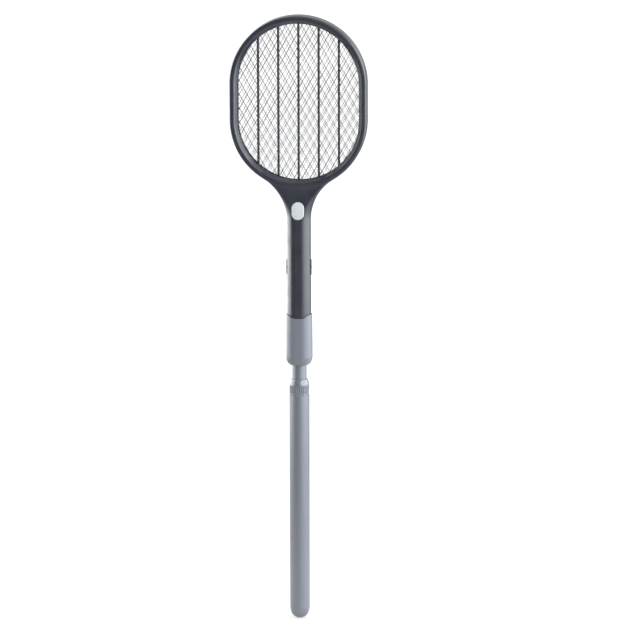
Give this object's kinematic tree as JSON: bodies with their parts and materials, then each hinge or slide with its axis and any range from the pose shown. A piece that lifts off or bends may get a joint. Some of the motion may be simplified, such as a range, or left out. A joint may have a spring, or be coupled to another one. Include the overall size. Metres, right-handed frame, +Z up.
{
  "type": "electric fly swatter",
  "caption": "Racket-type electric fly swatter with a wire-mesh head, straight handle with side sliders and button, plugged into the socket of a telescopic pole.",
  "frame": {"origin": "on the pole's axis, at the lower end of the outer tube's straight wall, above the end cap", "axes": "+Z up the pole towards the mesh head, front face with the button towards -Y, +X to the right seen from the front"},
  "size_m": [0.1896, 0.0322, 0.8539],
  "materials": {
    "charcoal_shell": "satin moulded ABS with a fine grain",
    "charcoal_ribs": "satin moulded ABS",
    "slider_charcoal": "satin moulded ABS",
    "button_grey": "smooth light grey translucent ABS",
    "socket_grey": "satin moulded cool grey polypropylene",
    "nut_grey": "semi-gloss moulded cool grey ABS",
    "pole_grey": "satin extruded cool grey plastic",
    "neck_tube_grey": "satin extruded cool grey plastic",
    "inner_plastic": "natural acetal",
    "grid_wire": "bright metal wire",
    "screw_steel": "zinc plated",
    "contact_plate": "nickel plated spring steel",
    "lead_insulation": "PVC insulation",
    "board_laminate": "solder-masked laminate",
    "component_amber": "lacquered windings and dipped film",
    "component_black": "moulded epoxy",
    "led_lens": "clear epoxy",
    "cell_jacket": "shrink film"
  },
  "bodies": {
    "pole": {"outer_tube": "pole_grey", "end_cap": "pole_grey", "split_sleeve": "inner_plastic"},
    "nut": {"lock_nut": "nut_grey"},
    "extension": {"inner_tube": "neck_tube_grey", "guide_bush": "inner_plastic", "socket": "socket_grey", "socket_screw": "screw_steel"},
    "racket": {"front_shell": "charcoal_shell", "rear_shell": "charcoal_shell", "front_rib_frame": "charcoal_ribs", "rear_rib_frame": "charcoal_ribs", "front_grid": "grid_wire", "centre_grid": "grid_wire", "rear_grid": "grid_wire", "grid_leads": "lead_insulation", "circuit_board": "board_laminate", "transformer": "component_amber", "capacitor": "component_amber", "diodes": "component_black", "transistor": "component_black", "trigger_switch": "component_black", "power_switch": "component_black", "light_switch": "component_black", "light_led": "led_lens", "battery_cells": "cell_jacket", "battery_contacts": "contact_plate", "handle_screws": "screw_steel", "ring_screws": "screw_steel", "button_spring": "contact_plate"},
    "button": {"trigger_button": "button_grey"},
    "power_thumb": {"power_slider": "slider_charcoal"},
    "light_thumb": {"light_slider": "slider_charcoal"},
    "cover": {"battery_cover": "charcoal_shell"}
  },
  "joints": [
    {"name": "lock_nut_turn", "type": "hinge", "parent": "pole", "child": "nut", "pos_m": [0, 0, 0.313], "axis": [0, 0, 1], "range_deg": [0, 120]},
    {"name": "pole_extend", "type": "slide", "parent": "pole", "child": "extension", "axis": [0, 0, 1], "range_m": [0, 0.24]},
    {"name": "racket_release", "type": "slide", "parent": "extension", "child": "racket", "axis": [0, 0, 1], "range_m": [0, 0.062]},
    {"name": "trigger_press", "type": "slide", "parent": "racket", "child": "button", "axis": [0, 1, 0], "range_m": [0, 0.0012], "stiffness_N_per_m": 1500, "springref_m": -0.0006, "deforming": ["button_spring"]},
    {"name": "power_slide", "type": "slide", "parent": "racket", "child": "power_thumb", "axis": [0, 0, 1], "range_m": [0, 0.004]},
    {"name": "light_slide", "type": "slide", "parent": "racket", "child": "light_thumb", "axis": [0, 0, 1], "range_m": [0, 0.004]},
    {"name": "cover_lift", "type": "slide", "parent": "racket", "child": "cover", "axis": [0, 1, 0], "range_m": [0, 0.02]}
  ]
}
